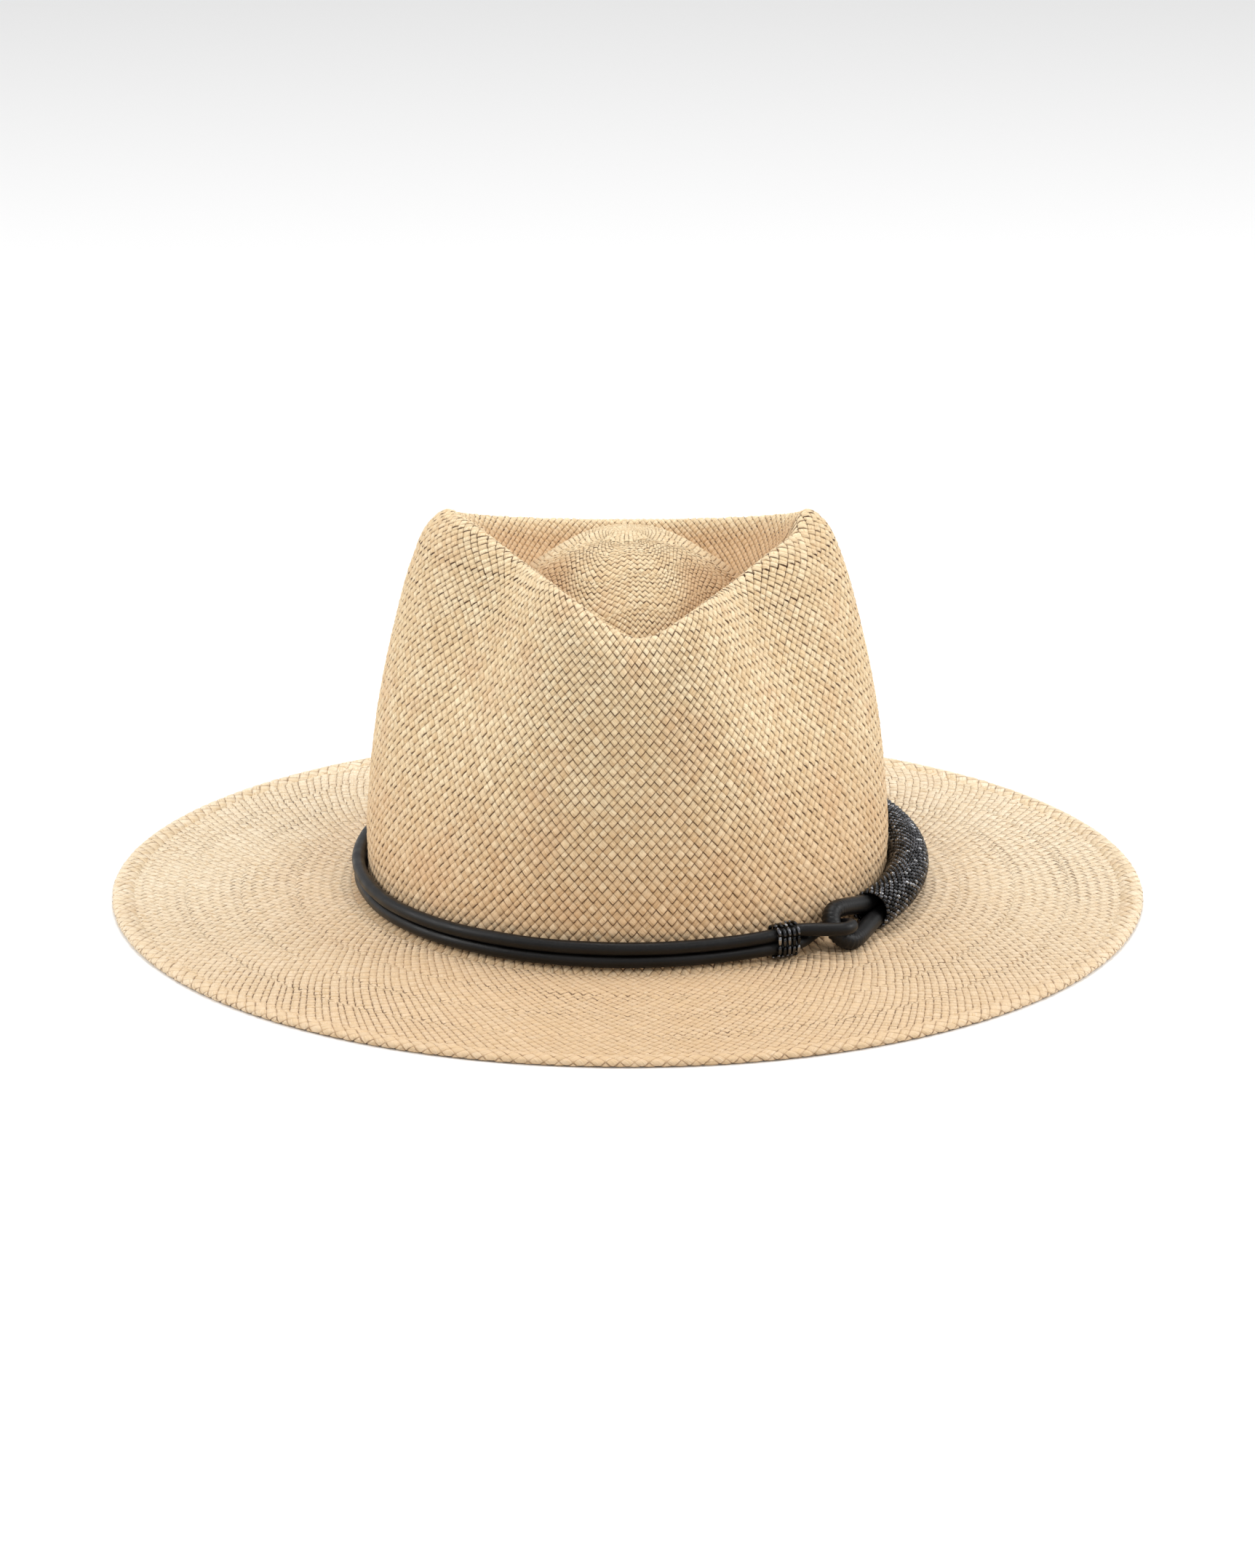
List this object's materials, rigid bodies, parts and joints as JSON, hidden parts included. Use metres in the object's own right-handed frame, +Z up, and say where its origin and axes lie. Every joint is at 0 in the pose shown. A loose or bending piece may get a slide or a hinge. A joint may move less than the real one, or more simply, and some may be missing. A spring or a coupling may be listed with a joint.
{
  "type": "woven straw hat with leather cord band",
  "caption": "Wide-brimmed woven straw hat with a pinched teardrop crown, woven-back brim edge, sweatband, and a doubled leather cord band with bead collars and a beaded sleeve.",
  "frame": {"origin": "on the plane the brim stands on, under the middle of the brim", "axes": "+Z up, front of the hat toward -Y, wearer's left toward +X"},
  "size_m": [0.332, 0.354, 0.1284],
  "materials": {
    "straw": "matte plain weave of flat straw strands, slightly varied tan",
    "sweatband": "matte twill tape",
    "reed": "satin piping",
    "thread": "matte thread",
    "bow": "satin ribbon",
    "leather": "black grained leather, soft sheen",
    "beads": "glossy black and hematite glass seed beads"
  },
  "bodies": {
    "hat": {"straw_body": "straw", "sweatband": "sweatband", "sweatband_reed": "reed", "sweatband_thread": "thread", "sweatband_bow": "bow"},
    "band": {"leather_cord": "leather", "loop_cord": "leather", "bead_sleeve": "beads", "front_collar_row_1": "beads", "front_collar_row_2": "beads", "front_collar_row_3": "beads", "front_collar_row_4": "beads", "front_collar_row_5": "beads", "rear_collar_row_1": "beads", "rear_collar_row_2": "beads", "rear_collar_row_3": "beads", "rear_collar_row_4": "beads", "rear_collar_row_5": "beads"}
  },
  "joints": [
    {"name": "band_lift", "type": "slide", "parent": "hat", "child": "band", "axis": [0, 0, 1], "range_m": [0, 0.14]}
  ]
}
